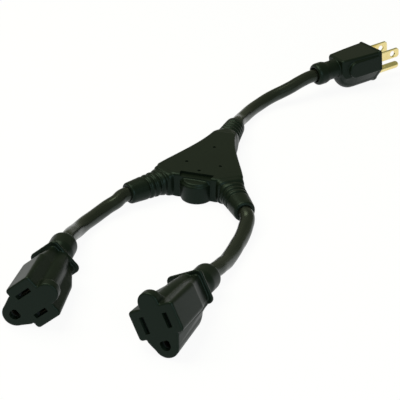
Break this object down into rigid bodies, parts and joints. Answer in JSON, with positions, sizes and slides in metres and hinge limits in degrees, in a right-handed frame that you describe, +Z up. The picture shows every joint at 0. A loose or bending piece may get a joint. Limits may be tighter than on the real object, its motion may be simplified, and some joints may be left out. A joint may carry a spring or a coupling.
{
  "type": "power cord splitter",
  "caption": "Short power cord splitter: a grounded plug and a flat forked junction that feeds grounded sockets on short cords.",
  "frame": {"origin": "on the table, under the middle of the box around the plug, the junction and the two sockets", "axes": "+Z up from the table, +Y from the sockets towards the plug, +X to the right when the sockets are nearest"},
  "size_m": [0.2294, 0.3272, 0.0316],
  "materials": {
    "moulded_vinyl": "satin moulded black vinyl",
    "cord_jacket": "smooth extruded black jacket",
    "inner_plastic": "dark nylon",
    "brass": "polished stamped brass",
    "splice_sleeve": "tinned copper sleeve",
    "black_wire": "black insulation",
    "white_wire": "white insulation",
    "green_wire": "green insulation"
  },
  "bodies": {
    "root": {"plug_body": "moulded_vinyl", "plug_bridge": "inner_plastic", "line_blade": "brass", "neutral_blade": "brass", "ground_pin": "brass", "plug_line_wire": "black_wire", "plug_neutral_wire": "white_wire", "plug_ground_wire": "green_wire", "junction_body": "moulded_vinyl", "line_splice": "splice_sleeve", "ground_splice": "splice_sleeve", "neutral_splice": "splice_sleeve", "junction_trunk_line_wire": "black_wire", "junction_left_line_wire": "black_wire", "junction_right_line_wire": "black_wire", "junction_trunk_ground_wire": "green_wire", "junction_left_ground_wire": "green_wire", "junction_right_ground_wire": "green_wire", "junction_trunk_neutral_wire": "white_wire", "junction_left_neutral_wire": "white_wire", "junction_right_neutral_wire": "white_wire", "left_socket_body": "moulded_vinyl", "left_socket_contact_carrier": "inner_plastic", "left_socket_line_contact": "brass", "left_socket_neutral_contact": "brass", "left_socket_ground_contact": "brass", "left_socket_line_wire": "black_wire", "left_socket_neutral_wire": "white_wire", "left_socket_ground_wire": "green_wire", "right_socket_body": "moulded_vinyl", "right_socket_contact_carrier": "inner_plastic", "right_socket_line_contact": "brass", "right_socket_neutral_contact": "brass", "right_socket_ground_contact": "brass", "right_socket_line_wire": "black_wire", "right_socket_neutral_wire": "white_wire", "right_socket_ground_wire": "green_wire", "trunk_cord": "cord_jacket", "left_cord": "cord_jacket", "right_cord": "cord_jacket"}
  },
  "joints": []
}
